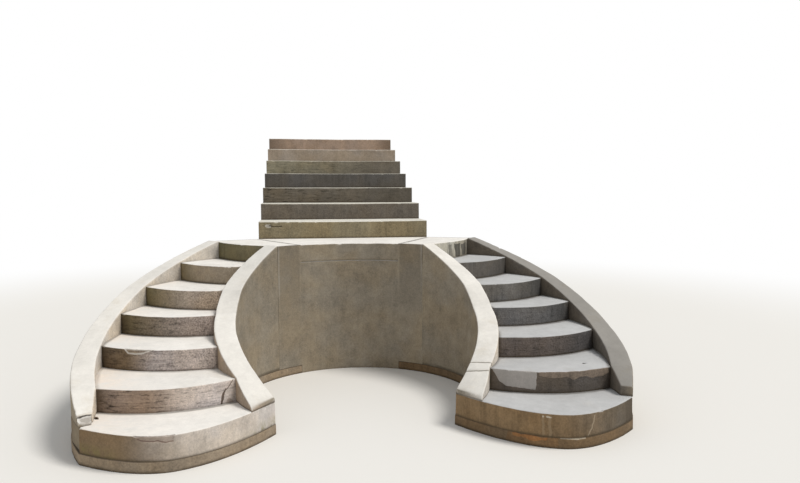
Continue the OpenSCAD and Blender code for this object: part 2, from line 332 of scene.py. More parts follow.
@dataclass
class Patch:
    """A stretch of other render inside an outline of places; proud is how far it stands out
    of the face, or lies deep in it where below 0. part is how much of it shows, ragged how
    far its outline wanders and rim the colour along it, and an even patch takes on less of
    the tone round it."""
    mark: str
    colour: tuple
    proud: float
    corners: list
    part: float = 0.8
    ragged: float = 0.006
    rim: tuple = None
    even: float = 0.0

    def lay(self, along, up, reach, seed):
        """Its mark, the depth inside its outline, and how far it presses the face in."""
        corners = np.multiply(self.corners, (reach, 1))
        near = np.full(along.shape, np.inf)
        within = np.zeros(along.shape, bool)
        for a, b in zip(corners, np.roll(corners, -1, axis=0)):
            edge = b - a
            over, climb = along - a[0], up - a[1]
            t = np.clip((over * edge[0] + climb * edge[1]) / (edge @ edge), 0, 1)
            near = np.minimum(near, np.hypot(over - t * edge[0], climb - t * edge[1]))
            if edge[1]:
                within ^= ((up < a[1]) != (up < b[1])) & (over < climb * edge[0] / edge[1])
        inside = np.where(within, near, -near)
        spot = np.stack([along, up, 0 * along], axis=-1)
        inside = inside + self.ragged * rough(spot, 0.05, seed, 3)
        return inside, -self.proud * step_up(inside, -0.002, 0.004)

    def hidden(self, along):
        return -1.0 + 0 * along

    def paint(self, finish, colour, tone):
        deep = finish.mark(self.mark)
        own = finish.tint(paint(*self.colour), finish.mix(self.even, tone, (1, 1, 1, 1)))
        colour = finish.mix(deep.rise(-0.0015, 0.0015) * self.part, colour, own)
        if self.rim:
            edge = 1.0 - (deep - 0.003).size().rise(0.003, 0.007)
            colour = finish.mix(edge * 0.8, colour, paint(*self.rim))
        return colour


@dataclass
class Crack:
    """A crack or groove between two places, wandering a little on its way."""
    mark: str
    colour: tuple
    start: tuple
    end: tuple
    width: float = 0.006
    depth: float = 0.003
    wander: float = 0.005
    part: float = 0.9

    def lay(self, along, up, reach, seed):
        """Its mark, the distances across it and past its ends, and how far it presses in."""
        start, end = np.multiply(self.start, (reach, 1)), np.multiply(self.end, (reach, 1))
        length = np.linalg.norm(end - start)
        course = (end - start) / length
        run = (along - start[0]) * course[0] + (up - start[1]) * course[1]
        spot = np.stack([run, 0 * run, 0 * run], axis=-1)
        across = (up - start[1]) * course[0] - (along - start[0]) * course[1]
        across = across + self.wander * rough(spot, 0.045, seed, 3)
        past = np.maximum(-run, run - length)
        press = self.depth * np.exp(-(across / self.width) ** 2) * step_up(-past, -0.006, 0.006)
        return np.stack([across, past, 0 * run], axis=-1), press

    def hidden(self, along):
        return np.ones(along.shape + (3,))

    def paint(self, finish, colour, tone):
        across, past, _ = finish.split(finish.mark(self.mark, "Vector"))
        near = 1.0 - across.size().rise(0.30 * self.width, 0.80 * self.width)
        line = near * (1.0 - past.rise(-0.004, 0.004)) * self.part
        return finish.mix(line, colour, paint(*self.colour))


@dataclass
class Look:
    """How a piece looks: its colours, how strong each trait of its render is, and what marks
    it. Pairs are for its bed-side and its outer end, and those of a string for its faces."""
    # Seed of its own noise
    seed: int
    # Colours of the faces that lie flat and of those that stand, these darker partly as painted shade
    lying: tuple
    standing: tuple
    # Colour of the standing faces at the outer end, and the shares where they change to it. On the steps
    # its darker tone is mostly painted shade
    standing_far: tuple = None
    turn: tuple = (0, 1)
    # Level brush marks, and coarse grain
    brushed: tuple = (0.0, 0.0)
    knobs: tuple = (0.3, 0.3)
    # Dark runs, broad upright bands and small holes of the standing faces
    drips: float = 0.3
    bands: float = 0.3
    pits: float = 0.3
    # Darker ends, partly dirt and partly painted shade, and green stains low at the ends
    dark_ends: tuple = (0.0, 0.0)
    green: float = 0.0
    # Dirt and painted shade in the corners, and whether they follow the ends too
    dirt_and_shade: float = 0.6
    hemmed: bool = True
    # Brown stains of the faces that lie flat, and a reddish wash at their outer end
    stains: float = 0.25
    wash: float = 0.0
    # Bites out of its edge, and its patches and cracks in the order of their making
    chips: tuple = ()
    features: tuple = ()

    def lay_features(self, laid, along, up, reach, shown=True):
        """Adds one row of each feature's mark to laid, and gives how far they press in."""
        press = 0 * along
        for k, feature in enumerate(self.features):
            if shown:
                mark, deep = feature.lay(along, up, reach, 17 * self.seed + k)
                press = press + deep
            else:
                mark = feature.hidden(along)
            add_row(laid, **{feature.mark: mark})
        return press


def step_loops(front, back, inner, outer, low, foot, top, look, edge=None, spread=0.004,
               cell=CELL, wear=0.004):
    """Loops of a step across its nosing: up the riser, over the worn edge, along the tread
    and round its hidden faces, and the rows that its end faces hang between. The lines are
    flat; foot is where the riser starts to show, edge scales the wear along the edge, spread
    is how far the riser's top sinks back at most, and wear how deep the tread is dished."""
    seed = 40 * look.seed
    count = math.ceil(lengths(front)[-1] / cell)
    u = np.linspace(0, 1, count + 1)
    face, rear = along_line(front, u), along_line(back, u)
    out = along_line(downhill(front), u)
    out /= np.linalg.norm(out, axis=1, keepdims=True)
    run = u * lengths(front)[-1]
    total = run[-1]
    spot = np.concatenate([face, np.full((count + 1, 1), top)], axis=1)
    worn = WORN_RADIUS * (1.0 + 0.35 * rough(spot, 0.13, seed, 3)
                          + 0.20 * rough(spot, 0.035, seed + 1, 2))
    worn *= edge(u) if edge else 1.0
    bite = bites(run, look.chips) * (0.75 + 0.5 * lumps(spot, 0.012, seed + 7))
    bite += 0.009 * step_up(rough(spot, 0.040, seed + 11, 3), 0.34, 0.8)
    sag = spread * lift(rough(spot, 0.30, seed + 3, 3))

    # Each row holds its line, height, how far it faces outwards and upwards, and its
    # distance back from the face
    rows = []
    on_face = 0 * run
    if foot > low + 0.05:
        for z in (low, foot - 0.04):
            rows.append((face, z + on_face, 0.0, 0.0, on_face))
    start = foot - 0.008 if foot > low + 0.05 else low
    for part in np.linspace(0, 1, max(4, math.ceil((top - foot) / cell))):
        z = start + (top - worn - start) * part
        rows.append((face - out * (sag * step_up(z, foot, top))[:, None], z, 1.0, 0.0, on_face))
    for degrees in (14, 30, 46, 62, 77, 90):
        angle = math.radians(degrees)
        shift = sag + worn * (1 - math.cos(angle))
        rows.append((face - out * shift[:, None], top - worn * (1 - math.sin(angle)),
                     math.cos(angle), math.sin(angle), shift))
    tread = face - out * (sag + worn)[:, None]
    depth = np.linalg.norm(rear - tread, axis=1)
    parts = np.linspace(0, 1, max(6, math.ceil(np.median(depth) / cell)))[1:]
    side_in = along_line(inner, parts) - (inner[0] + np.outer(parts, inner[-1] - inner[0]))
    side_out = along_line(outer, parts) - (outer[0] + np.outer(parts, outer[-1] - outer[0]))
    first = len(rows) - 1
    for part, swing_in, swing_out in zip(parts, side_in, side_out):
        flat = tread + part * (rear - tread) + np.outer(1 - u, swing_in) + np.outer(u, swing_out)
        rows.append((flat, top + on_face, 0.0, 1.0, sag + worn + depth * part))
    tops = (first + np.linspace(0, len(parts), STRIPS + 1).round().astype(int)).tolist()
    for z in (top - 0.02, low):
        rows.append((flat, z + on_face, 0.0, 0.0, depth))
    for j in tops[-2:0:-1]:
        rows.append((rows[j][0], low + on_face, 0.0, 0.0, depth))
    feet = [0] + list(range(len(rows) - 1, len(rows) - len(tops), -1))

    side = look.hemmed * np.exp(-(np.minimum(run, total - run) - OVERLAP).clip(0) / 0.030)
    brushed, knobs = np.interp(u, (0, 1), look.brushed), np.interp(u, (0, 1), look.knobs)
    dish = wear * np.sin(np.pi * u) ** 2
    laid = {}
    for flat, z, inward, up, over in rows:
        shown = inward + up > 0
        at = np.concatenate([flat, z[:, None]], axis=1)
        climb = np.minimum(z, top) - foot + over
        brush = np.stack([run * 0.15, climb, on_face], axis=-1)
        swell = lift(rough(at, 0.16, 5, 4))
        push_in = inward * (0.0025 * swell + 0.0008 * lift(rough(at, 0.025, 9, 2))
                            + brushed * 0.0028 * lift(rough(brush, 0.016, seed + 13, 2))
                            + knobs * 0.0018 * lift(rough(at, 0.020, seed + 15, 2)))
        push_down = up * (0.0022 * swell + dish * np.exp(-over / 0.16)
                          + 0.0006 * lift(rough(at, 0.025, 9, 2)))
        push = bite * np.exp(-np.where(up > 0.5, over, top - z) / (0.010 + bite))
        push = push + look.lay_features(laid, run, climb, total, shown)
        at[:, :2] -= out * (push_in + (inward + 0.35 * up) * push)[:, None]
        at[:, 2] -= push_down + (up + 0.35 * inward) * push
        lip = np.exp(-np.where(up > 0.5, over / 0.025, (top - z) / 0.005))
        # The creases at the riser's foot, the tread's back and the ends take dirt and painted shade
        riser_foot = inward * np.exp(-np.clip(z - foot, 0, None) / 0.016)
        tread_back = up * np.exp(-np.clip(depth - OVERLAP - over, 0, None) / 0.026)
        corner = np.maximum(np.maximum(riser_foot, tread_back), side)
        add_row(laid, at=at, flat=np.stack([run, np.minimum(z, top) - foot, over], axis=-1),
                lip=lip * shown, corner=corner * shown, share=u)
    marks = {name: np.stack(values, axis=1) for name, values in laid.items()}
    return marks.pop("at"), marks, tops, feet


def string_loops(big, small, low, high, look, cell=STRING_CELL, shown=0.22):
    """Loops of a string between its two faces, each loop up the big face, over the worn top
    and down the small one. Down to shown under the top, the cells are small."""
    seed = 40 * look.seed
    run = lengths((big + small) / 2)
    spot = np.concatenate([(big + small) / 2, high[:, None]], axis=1)
    across = small - big
    width = np.linalg.norm(across, axis=1)
    across /= width[:, None]
    round_big = STRING_BEVEL * (1.15 + 0.5 * rough(spot, 0.10, seed, 3))
    round_small = STRING_BEVEL * (1.15 + 0.5 * rough(spot, 0.10, seed + 5, 3))
    bite = bites(run, look.chips) * (0.75 + 0.5 * lumps(spot, 0.012, seed + 9))
    bite += 0.012 * step_up(rough(spot, 0.05, seed + 21, 3), 0.45, 0.8)

    tall = float(np.max(high - low))
    fine = math.ceil(shown / cell)
    coarse = max(1, math.ceil((tall - shown) / 0.045)) if tall > shown else 0
    down = np.concatenate([shown * np.arange(1, fine + 1) / fine,
                           shown + (tall - shown) * np.arange(1, coarse + 1) / max(coarse, 1)])

    def flank(bevel):
        """Rows up one face and over its edge. Each holds its distance across from the face,
        how far it lies below the top, and how far it faces across and upwards."""
        rows = []
        for drop in down[::-1]:
            rows.append((0 * run, bevel + drop * (high - low - bevel) / max(tall, shown), -1.0, 0.0))
        for degrees in (0, 22, 45, 68, 90):
            angle = math.radians(degrees)
            rows.append((bevel * (1 - math.cos(angle)), bevel * (1 - math.sin(angle)),
                         -math.cos(angle), math.sin(angle)))
        return rows

    rows = flank(round_big)
    for part in np.linspace(0, 1, math.ceil(float(np.median(width)) / cell))[1:-1]:
        rows.append((round_big + part * (width - round_big - round_small), 0 * run, 0.0, 1.0))
    for over, fall, side, up in reversed(flank(round_small)):
        rows.append((width - over, fall, -side, up))

    laid = {}
    for over, fall, side, up in rows:
        at = np.concatenate([big + across * over[:, None], (high - fall)[:, None]], axis=1)
        edge = np.maximum(np.exp(-(over + fall) / 0.020), np.exp(-(width - over + fall) / 0.020))
        push = 0.0022 * lift(rough(at, 0.17, 31, 4)) + 0.0008 * lift(rough(at, 0.028, 37, 2))
        push = push + bite * edge * (0.35 + 0.65 * (lumps(at, 0.6, seed + 4) > 0))
        push = push + look.lay_features(laid, run, over + side * fall, run[-1])
        at[:, :2] -= across * (side * push)[:, None]
        at[:, 2] = np.maximum(at[:, 2] - up * push, low)
        # Dirt and painted shade where the string stands on the tread
        corner = np.exp(-np.clip(at[:, 2] - low - SINK, 0, None) / 0.012)
        add_row(laid, at=at, flat=np.stack([run, -fall, over], axis=-1), lip=edge, corner=corner,
                share=over / width)
    marks = {name: np.stack(values, axis=1) for name, values in laid.items()}
    return marks.pop("at"), marks


def wall_ring(outline, low, high, reach, look):
    """Points, faces and marks of an upright block with this closed outline; reach is the
    length of the part that its marks are placed along."""
    corners = len(outline)
    out = downhill(outline)
    levels = max(4, math.ceil((high - low) / 0.008))
    run = lengths(outline)
    laid = {}
    for level in np.linspace(low, high, levels + 1):
        z = level + 0 * run
        at = np.concatenate([outline, z[:, None]], axis=1)
        push = 0.003 * lift(rough(at, 0.12, look.seed, 4)) + 0.004 * np.exp(-(high - z) / 0.004)
        push = push + look.lay_features(laid, run, z - low, reach)
        at[:, :2] -= out * push[:, None]
        # Dirt and painted shade low on the block and in the crease under the step above
        corner = np.maximum(np.exp(-(z - low) / 0.020), np.exp(-(high - z) / 0.005))
        add_row(laid, at=at, flat=np.stack([run, z - low, 0 * run], axis=-1), lip=0 * run,
                corner=corner, share=run / reach)
    marks = {name: np.concatenate(values) for name, values in laid.items()}
    faces = [face[:1] + face[:0:-1] for face in band(levels + 1, corners)]
    faces.append(list(range(corners))[::-1])
    faces.append(list(range(levels * corners, (levels + 1) * corners)))
    return marks.pop("at"), faces, marks


# Finishes

def paint(red, green, blue):
    """A colour written in 0 to 255 as the shader needs it."""
    def level(value):
        value /= 255
        return value / 12.92 if value <= 0.04045 else ((value + 0.055) / 1.055) ** 2.4
    return level(red), level(green), level(blue), 1.0


class Level:
    """A socket of a finish that can stand in sums; each sum adds its Math nodes."""

    def __init__(self, finish, socket):
        self.finish = finish
        self.socket = socket

    def math(self, operation, first, second=0.0, clamp=False):
        return self.finish.node("ShaderNodeMath", {"operation": operation, "use_clamp": clamp},
                                {0: first, 1: second})

    def __add__(self, other):
        return self.math("ADD", self, other)

    __radd__ = __add__

    def __sub__(self, other):
        return self.math("SUBTRACT", self, other)

    def __rsub__(self, other):
        return self.math("SUBTRACT", other, self)

    def __mul__(self, other):
        return self.math("MULTIPLY", self, other)

    __rmul__ = __mul__

    def clamp(self):
        return self.math("ADD", self, 0.0, clamp=True)

    def size(self):
        return self.math("ABSOLUTE", self)

    def rise(self, low, high):
        """0 below low, 1 above high and smooth between."""
        return self.finish.node("ShaderNodeMapRange", {"interpolation_type": "SMOOTHSTEP"},
                                {0: self, 1: low, 2: high, 3: 0.0, 4: 1.0})


class Finish:
    """The nodes of a material, or of the sky, that is being made."""

    def __init__(self, owner):
        self.owner = owner
        owner.use_nodes = True
        self.tree = owner.node_tree
        self.tree.nodes.clear()

    def node(self, kind, settings=None, sockets=None, output=0):
        """Adds a node: first its settings, then its sockets' values or links."""
        node = self.tree.nodes.new(kind)
        for name, value in (settings or {}).items():
            setattr(node, name, value)
        for name, value in (sockets or {}).items():
            if isinstance(value, Level):
                self.tree.links.new(value.socket, node.inputs[name])
            else:
                node.inputs[name].default_value = value
        return Level(self, node.outputs[output]) if node.outputs else None

    def mix(self, part, first, second):
        """The first colour, turning into the second where part is 1."""
        return self.node("ShaderNodeMix", {"data_type": "RGBA"}, {0: part, 6: first, 7: second}, 2)

    def tint(self, colour, by):
        """A colour multiplied by another colour or by a level."""
        return self.node("ShaderNodeMix", {"data_type": "RGBA", "blend_type": "MULTIPLY"},
                         {0: 1.0, 6: colour, 7: by}, 2)

    def mark(self, name, output="Fac"):
        return self.node("ShaderNodeAttribute", {"attribute_name": name}, output=output)

    def split(self, vector):
        return [self.node("ShaderNodeSeparateXYZ", {}, {0: vector}, axis) for axis in "XYZ"]

    def stretch(self, vector, x, y, z, shift=0.0):
        """A vector with each of its parts scaled, then moved along."""
        scaled = self.node("ShaderNodeVectorMath", {"operation": "MULTIPLY"},
                           {0: vector, 1: (x, y, z)})
        return self.node("ShaderNodeVectorMath", {"operation": "ADD"},
                         {0: scaled, 1: (shift, 2 * shift, 3 * shift)})

    def noise(self, vector, scale, detail=3.0, roughness=0.55):
        return self.node("ShaderNodeTexNoise", {"noise_dimensions": "3D"},
                         {"Vector": vector, "Scale": scale, "Detail": detail, "Roughness": roughness})

    def cells(self, vector, scale):
        return self.node("ShaderNodeTexVoronoi", {}, {"Vector": vector, "Scale": scale}, "Distance")

    def surface(self, colour, roughness, height):
        bump = {"Height": height, "Strength": 0.8, "Distance": 0.004}
        normal = self.node("ShaderNodeBump", {}, bump)
        self.end(self.node("ShaderNodeBsdfPrincipled", {}, {
            "Base Color": colour, "Roughness": roughness, "Specular IOR Level": 0.30, "Normal": normal}))

    def end(self, shader, output="ShaderNodeOutputMaterial"):
        self.node(output, {}, {"Surface": shader})


def render_finish(name, look, mapped=True):
    """Weathered cement render: pale where it lies flat, browner and stained where it stands, and
    darker there with painted shade. A mesh that has no flat mark isn't mapped, and takes its
    own place instead."""
    f = Finish(bpy.data.materials.new(name))
    shift = 1.7 * look.seed
    place = f.stretch(f.node("ShaderNodeTexCoord", output="Object"), 1, 1, 1, shift)
    x, y, z = f.split(place)
    flat = (f.mark("flat", "Vector") if mapped else
            f.node("ShaderNodeCombineXYZ", {}, {0: x + y, 1: z}))
    lip = f.mark("lip")
    share = f.mark("share")
    up = f.split(flat)[1]
    lying = f.split(f.node("ShaderNodeNewGeometry", output="Normal"))[2].rise(0.45, 0.85)
    standing = 1.0 - lying

    clouds = f.noise(place, 1.6, 3.0)
    hue = f.noise(f.stretch(place, 1, 1, 1, 31.0), 2.6, 3.0)
    mottle = f.noise(place, 9.0, 5.0, 0.6)
    fine = f.noise(place, 38.0, 4.0, 0.6)
    knobs = f.noise(place, 85.0, 2.0)
    sand = f.noise(place, 300.0, 2.0, 0.6)
    bands = f.noise(f.stretch(flat, 5.5, 0.8, 1.0, shift), 1.0, 3.0)
    drips = f.noise(f.stretch(flat, 26.0, 2.2, 1.0, shift), 1.0, 4.0, 0.6)
    dashes = f.noise(f.stretch(flat, 10.0, 50.0, 50.0, shift), 1.0, 4.0, 0.62)
    brush = f.noise(f.stretch(flat, 3.0, 140.0, 140.0, shift), 1.0, 3.0, 0.6)
    knobby = share * (look.knobs[1] - look.knobs[0]) + look.knobs[0]
    brushed = share * (look.brushed[1] - look.brushed[0]) + look.brushed[0]

    # The tone of the faces that stand, as a share of their colour
    tone = (1.0 + (clouds - 0.5) * 0.55 + (mottle - 0.5) * 0.75 + (fine - 0.5) * 0.45
            + (sand - 0.5) * 0.35 + (bands - 0.5) * (1.1 * look.bands)
            + (drips - 0.5) * (1.2 * look.drips)
            + (brush - 0.5) * 1.0 * brushed + knobby * (knobs - 0.5) * 1.9)
    tone = tone - dashes.rise(0.53, 0.64) * brushed * 0.5 - drips.rise(0.55, 0.66) * (0.2 * look.drips)
    far = look.standing_far or look.standing
    # The standing colour changes along a step to its outer-end colour, partly painted shade, and across a
    # string to its far face's
    wall = f.mix(share.rise(*look.turn), paint(*look.standing), paint(*far))
    wall = f.mix(hue.rise(0.35, 0.65), f.tint(wall, (1.03, 0.99, 0.92, 1.0)),
                 f.tint(wall, (0.98, 1.0, 1.03, 1.0)))
    wall = f.tint(wall, tone)
    # Darker ends: dirt with painted shade
    dark = (1.0 - share.rise(0.0, 0.16)) * look.dark_ends[0] + share.rise(0.84, 1.0) * look.dark_ends[1]
    wall = f.mix((dark * (0.35 + mottle * 1.3)).clamp(), wall, paint(66, 55, 42))
    if look.green:
        ends = (1.0 - share.rise(0.02, 0.30)) + share.rise(0.72, 0.98)
        low = (1.0 - up.rise(0.0, 0.09)) * (fine * 0.4 + mottle * 0.6).rise(0.40, 0.60)
        wall = f.mix(ends * low * look.green, wall, paint(128, 122, 72))

    # The faces that lie flat are paler and more even; the standing ones are darker partly as painted
    # shade
    bed = (1.0 + (clouds - 0.5) * 0.28 + (mottle - 0.5) * 0.34 + (fine - 0.5) * 0.16
           + (sand - 0.5) * 0.16)
    tread = f.tint(paint(*look.lying), bed)
    stain = f.noise(f.stretch(place, 1, 1, 1, 9.0), 4.0, 5.0, 0.6).rise(0.54, 0.76)
    tread = f.mix(stain * look.stains, tread, f.tint(tread, (0.80, 0.74, 0.64, 1.0)))
    washed = share.rise(0.45, 1.0) * (clouds * 0.5 + mottle * 0.5).rise(0.38, 0.60)
    tread = f.mix(washed * look.wash, tread, f.tint(tread, (0.94, 0.84, 0.76, 1.0)))

    colour = f.mix(lying, wall, tread)
    tone = f.mix(lying, f.node("ShaderNodeCombineXYZ", {}, {0: tone, 1: tone, 2: tone}),
                 f.node("ShaderNodeCombineXYZ", {}, {0: bed, 1: bed, 2: bed}))
    for feature in look.features:
        colour = feature.paint(f, colour, tone)
    worn = (lip * (0.45 + mottle * 0.9)).rise(0.28, 0.8) * (0.30 + lying * 0.35)
    colour = f.mix(worn, colour, tread)
    # Dirt and painted shade in the creases
    dirt_and_shade = (f.mark("corner") * (0.3 + mottle * 1.3)).rise(0.25, 0.85)
    colour = f.mix(dirt_and_shade * look.dirt_and_shade, colour, paint(70, 60, 46))
    pit = (1.0 - f.cells(place, 95.0).rise(0.12, 0.32)) * mottle.rise(0.47, 0.60)
    hole = (1.0 - f.cells(place, 30.0).rise(0.06, 0.12)) * f.noise(place, 7.0, 1.0).rise(0.50, 0.60)
    holed = (pit * (0.55 * look.pits) + hole * (0.8 * look.pits)) * (0.25 + standing * 0.75)
    colour = f.mix(holed.clamp(), colour, paint(64, 55, 44))

    height = (fine * 0.40 + sand * 0.14 + mottle * 0.40 - pit * (0.5 * look.pits)
              - hole * (1.1 * look.pits)
              + standing * (knobby * knobs * 1.1 + (brush * 0.5 - dashes.rise(0.5, 0.7) * 0.4) * brushed))
    f.surface(colour, 0.86 + fine * 0.12, height)
    return f.owner


# The looks of the pieces

# PALE_IN_SHADE is the pale tread render greyed and cooled as painted shade, for the right flight
PALE = (239, 235, 229)
PALE_IN_SHADE = (192, 192, 192)
STRING = (233, 229, 222)
LIT = (214, 205, 193)
WALL = (150, 140, 124)

# The standing colours carry painted shade as well as the render's own tone: they grow darker up the left
# flight, the right flight's and those of upper steps 2 to 4 are darker all over, and upper step 5 darkens
# to its far end
LOOKS = {
    "left_step_1": Look(
        11, PALE, (208, 199, 191), (133, 112, 86), (0.42, 0.8), bands=0.4, knobs=(0.2, 0.3), green=0.9,
        wash=0.5, hemmed=False),
    "left_step_2": Look(
        12, PALE, (215, 204, 199), (157, 137, 121), (0.32, 0.66), brushed=(0.5, 1.2), knobs=(0.4, 0.4),
        pits=0.7, dark_ends=(0.0, 0.6), dirt_and_shade=0.3, wash=0.6),
    "left_step_3": Look(
        13, PALE, (187, 176, 172), (122, 105, 85), (0.45, 0.75), brushed=(0.6, 0.9), knobs=(1.0, 0.4),
        pits=0.6, dark_ends=(0.0, 0.5), wash=0.6),
    "left_step_4": Look(
        14, PALE, (170, 154, 143), (106, 95, 69), (0.1, 1.0), brushed=(0.6, 0.8), knobs=(1.2, 0.4),
        pits=0.9, dark_ends=(0.0, 0.5), wash=0.4),
    "left_step_5": Look(
        15, PALE, (181, 164, 148), (114, 104, 75), (0.2, 1.0), brushed=(0.3, 0.2), knobs=(1.1, 0.3),
        pits=0.8, wash=0.3),
    "left_step_6": Look(16, PALE, (163, 148, 128), (130, 116, 88), (0.5, 1.0), knobs=(0.5, 0.2)),
    "left_step_7": Look(17, PALE, (126, 117, 93), (108, 100, 72), drips=0.7),
    "right_step_1": Look(
        21, PALE_IN_SHADE, (136, 112, 82), (109, 100, 88), (0.4, 0.9), knobs=(0.3, 0.4), drips=1.2, bands=0.6,
        dark_ends=(0.0, 0.6), hemmed=False),
    "right_step_2": Look(
        22, PALE_IN_SHADE, (107, 97, 87), (93, 87, 82), brushed=(0.1, 0.4), knobs=(0.2, 0.6), drips=0.8,
        dark_ends=(0.0, 0.6)),
    "right_step_3": Look(
        23, PALE_IN_SHADE, (112, 102, 96), (85, 81, 79), (0.4, 0.9), brushed=(0.6, 0.4), knobs=(0.6, 0.6),
        drips=0.8),
    "right_step_4": Look(
        24, PALE_IN_SHADE, (115, 112, 110), (86, 84, 82), (0.3, 0.9), brushed=(0.4, 0.4), knobs=(0.6, 0.6),
        drips=0.8),
    "right_step_5": Look(
        25, PALE_IN_SHADE, (115, 112, 109), (80, 79, 78), (0.3, 0.9), brushed=(0.2, 0.2), knobs=(0.5, 0.5),
        drips=0.8),
    "right_step_6": Look(26, PALE_IN_SHADE, (108, 103, 98), (86, 83, 80), (0.3, 0.9), drips=1.0),
    "right_step_7": Look(27, PALE, (196, 193, 182), (140, 135, 124), (0.3, 0.9), drips=2.2),
    # The flight-side face, (168, 150, 131), is darker as painted shade
    "left_inner": Look(31, STRING, (168, 150, 131), WALL, stains=0.4),
    "left_outer": Look(31, STRING, WALL, LIT, stains=0.4),
    "left_outer_toe": Look(31, STRING, WALL, LIT, stains=0.4),
    "right_inner": Look(32, STRING, LIT, WALL, stains=0.4),
    "right_inner_toe": Look(32, STRING, LIT, WALL, stains=0.4),
    # The flight-side face, (112, 104, 94), is darker as painted shade
    "right_outer": Look(33, (154, 150, 144), (140, 130, 115), (112, 104, 94), stains=0.6),
    "left_footing": Look(
        41, (168, 154, 136), (156, 140, 120), knobs=(0.4, 0.4), drips=0.6, dirt_and_shade=0.8, stains=0.6),
    "right_footing": Look(
        42, (120, 102, 78), (120, 100, 76), knobs=(0.4, 0.4), drips=0.6, dirt_and_shade=0.8, stains=0.6),
    "bottom_ends": Look(51, PALE, (140, 125, 103), dirt_and_shade=0.3, hemmed=False),
    "landing": Look(51, PALE, WALL, dirt_and_shade=0.25, hemmed=False),
    "wall": Look(52, (190, 184, 170), (142, 132, 116), knobs=(0.4, 0.4), drips=0.4),
    "upper_step_1": Look(
        61, (222, 218, 208), (146, 134, 108), knobs=(0.5, 0.4), drips=0.6, hemmed=False,
        chips=((0.1, 0.05, 0.01), (0.17, 0.03, 0.007))),
    "upper_step_2": Look(
        62, (206, 202, 190), (112, 104, 94), knobs=(0.5, 0.5), drips=0.6, hemmed=False),
    "upper_step_3": Look(
        63, (206, 202, 190), (116, 107, 94), (100, 95, 88), brushed=(1.2, 0.2), hemmed=False),
    "upper_step_4": Look(64, (200, 196, 186), (98, 94, 90), drips=0.6, hemmed=False),
    "upper_step_5": Look(
        65, (206, 202, 190), (152, 144, 122), (118, 110, 98), brushed=(0.8, 0.2), hemmed=False),
    "upper_step_6": Look(66, (212, 206, 196), (162, 149, 136), hemmed=False),
    "upper_step_7": Look(67, (212, 204, 194), (166, 145, 129), dark_ends=(0.5, 0.5), hemmed=False),
}

